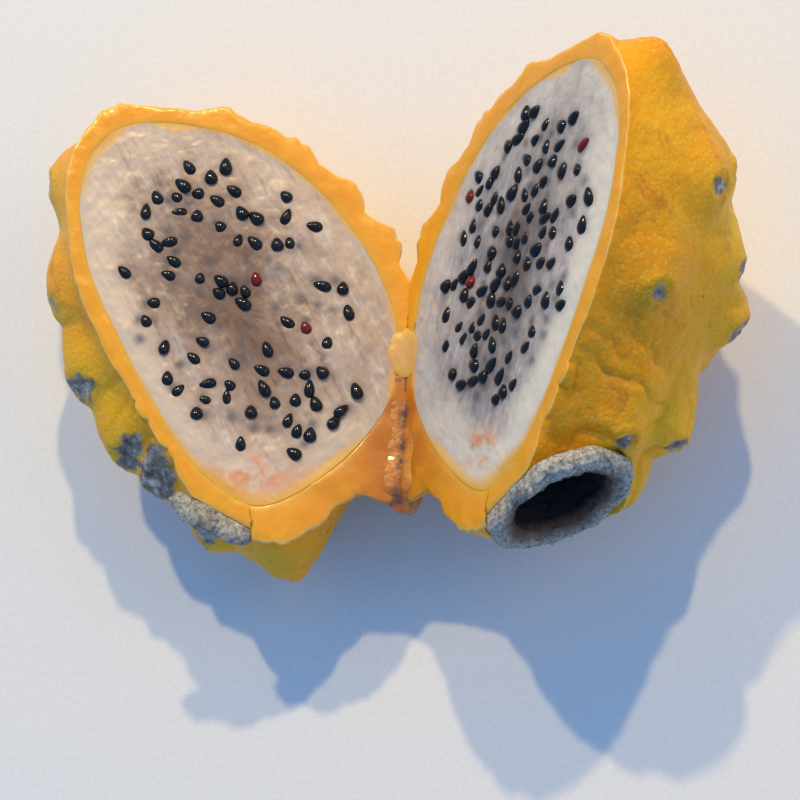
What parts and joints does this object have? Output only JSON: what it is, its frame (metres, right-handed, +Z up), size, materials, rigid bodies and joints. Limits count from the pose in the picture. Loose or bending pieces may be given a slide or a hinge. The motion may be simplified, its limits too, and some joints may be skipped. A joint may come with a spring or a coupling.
{
  "type": "cut and opened yellow dragon fruit",
  "caption": "Yellow dragon fruit cut lengthwise and opened like a book, its halves joined by a strip of rind, with seeded flesh and a corky flower scar.",
  "frame": {"origin": "the middle of the part's footprint box, on the surface that it rests on", "axes": "+Z up, +Y along the hinge towards the stem ends, +X towards the right half, which holds most of the flower scar"},
  "size_m": [0.1634, 0.11, 0.0755],
  "materials": {
    "rind": "waxy yellow to orange skin, olive at the tubercle tips, with a moist orange cut edge",
    "flesh": "moist translucent white flesh with glossy black seeds",
    "scar": "dry grey cork, near black and fibrous in the hollow"
  },
  "bodies": {
    "root": {"rind": "rind", "flesh": "flesh", "flower_scar_right": "scar", "flower_scar_left": "scar"}
  },
  "joints": []
}
